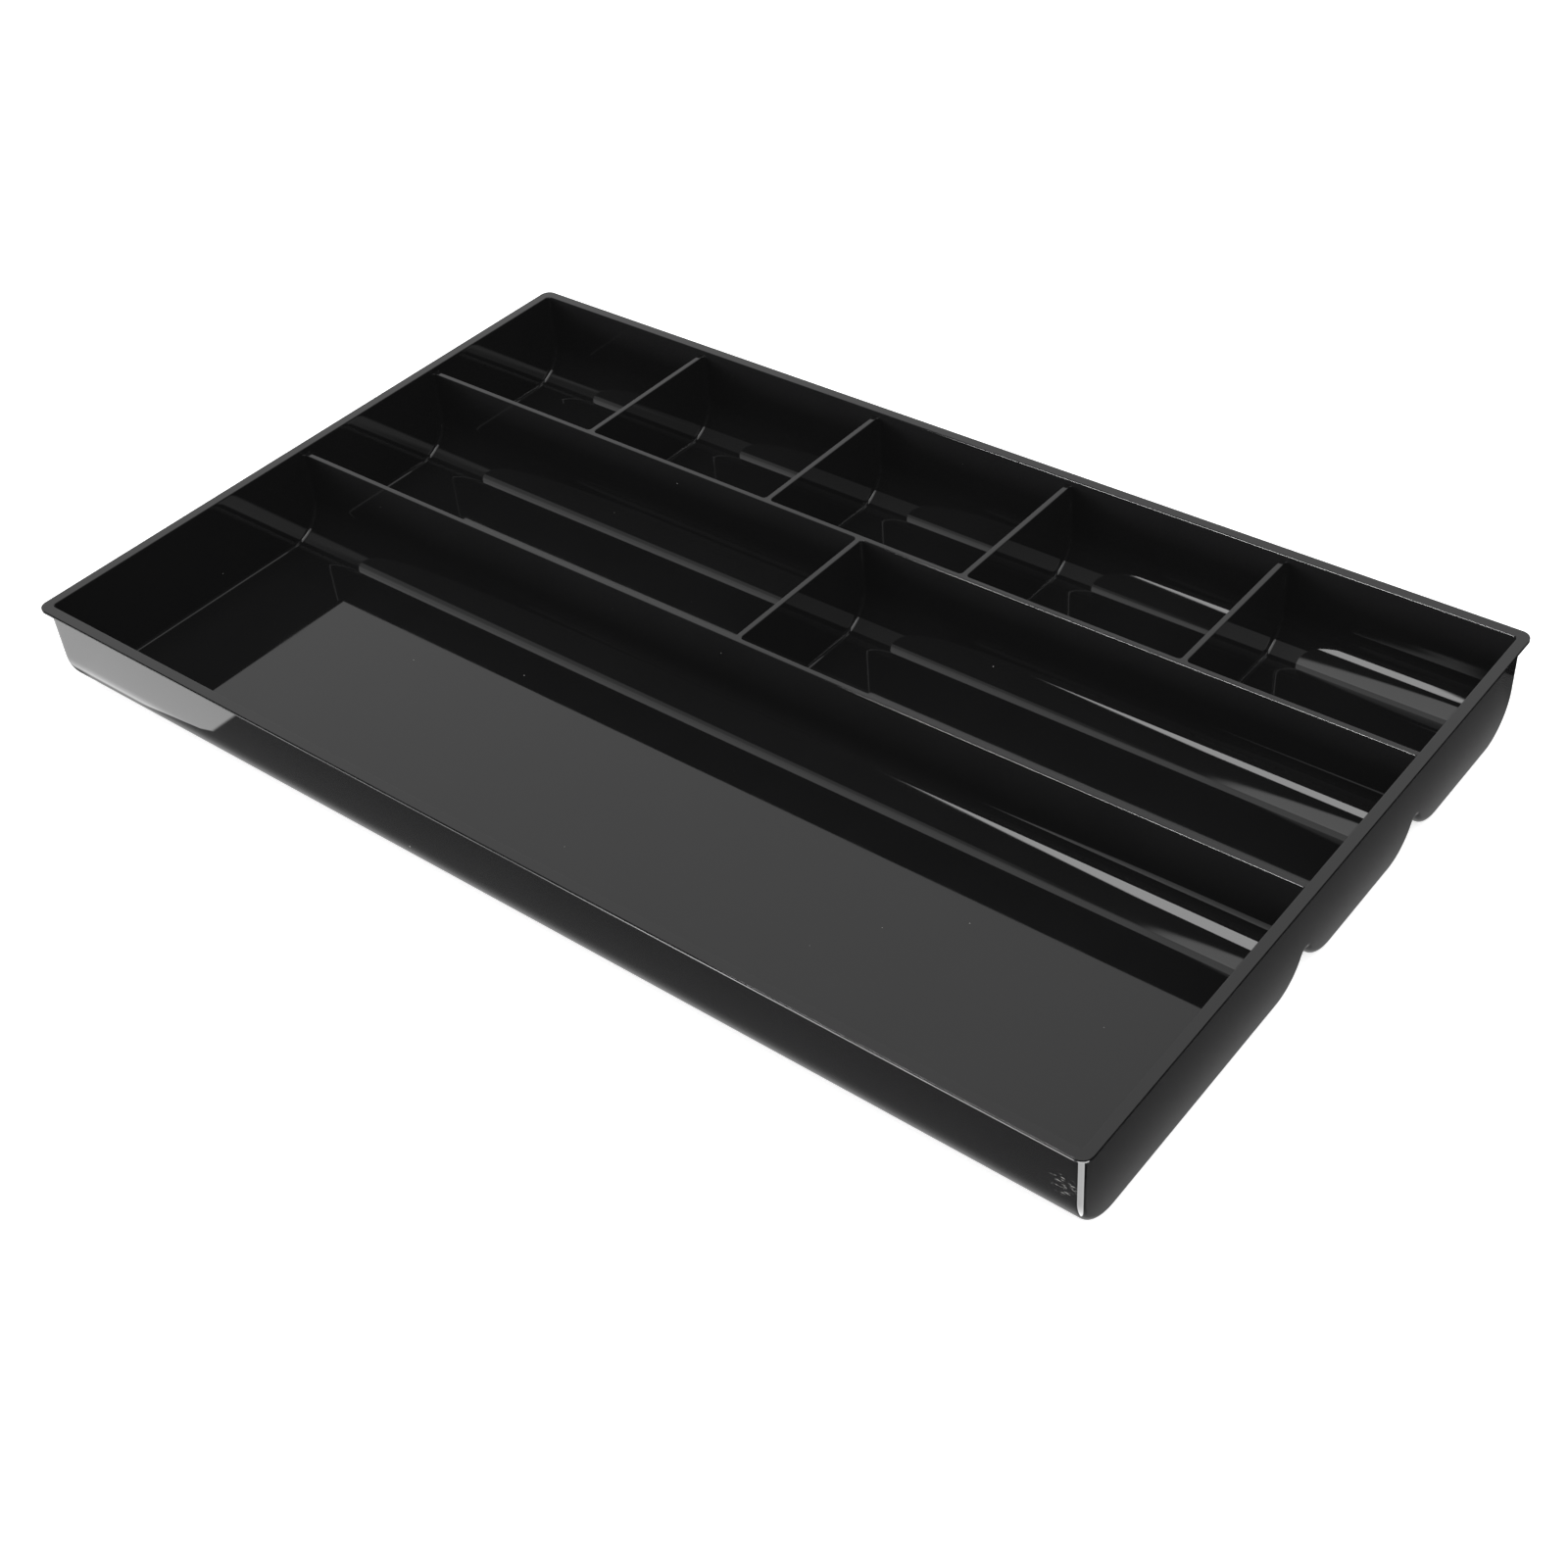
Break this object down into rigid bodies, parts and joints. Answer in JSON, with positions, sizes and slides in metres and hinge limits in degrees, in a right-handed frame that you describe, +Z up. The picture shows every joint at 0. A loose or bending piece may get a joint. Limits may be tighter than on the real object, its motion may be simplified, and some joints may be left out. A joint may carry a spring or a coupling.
{
  "type": "drawer organizer insert",
  "caption": "Shallow rectangular drawer tray with a thin rim flange, cove-bottomed rows split by thin dividers, in glossy black plastic.",
  "frame": {"origin": "middle of the tray's outline, on the plane of the three undersides it rests on", "axes": "+X along the long side, from left to right seen from the front; +Y from the wide front row to the back row; +Z up, out of the compartments"},
  "size_m": [0.4, 0.244, 0.035],
  "materials": {
    "black_plastic": "glossy moulded polystyrene"
  },
  "bodies": {
    "root": {"rim_flange": "black_plastic", "front_wall": "black_plastic", "back_wall": "black_plastic", "left_end_wall": "black_plastic", "right_end_wall": "black_plastic", "front_row_floor": "black_plastic", "front_row_front_cove": "black_plastic", "front_row_rear_cove": "black_plastic", "middle_row_floor": "black_plastic", "middle_row_front_cove": "black_plastic", "middle_row_rear_cove": "black_plastic", "rear_row_floor": "black_plastic", "rear_row_front_cove": "black_plastic", "rear_row_rear_cove": "black_plastic", "front_long_divider": "black_plastic", "rear_long_divider": "black_plastic", "middle_cross_divider": "black_plastic", "rear_cross_divider_1": "black_plastic", "rear_cross_divider_2": "black_plastic", "rear_cross_divider_3": "black_plastic", "rear_cross_divider_4": "black_plastic"}
  },
  "joints": []
}
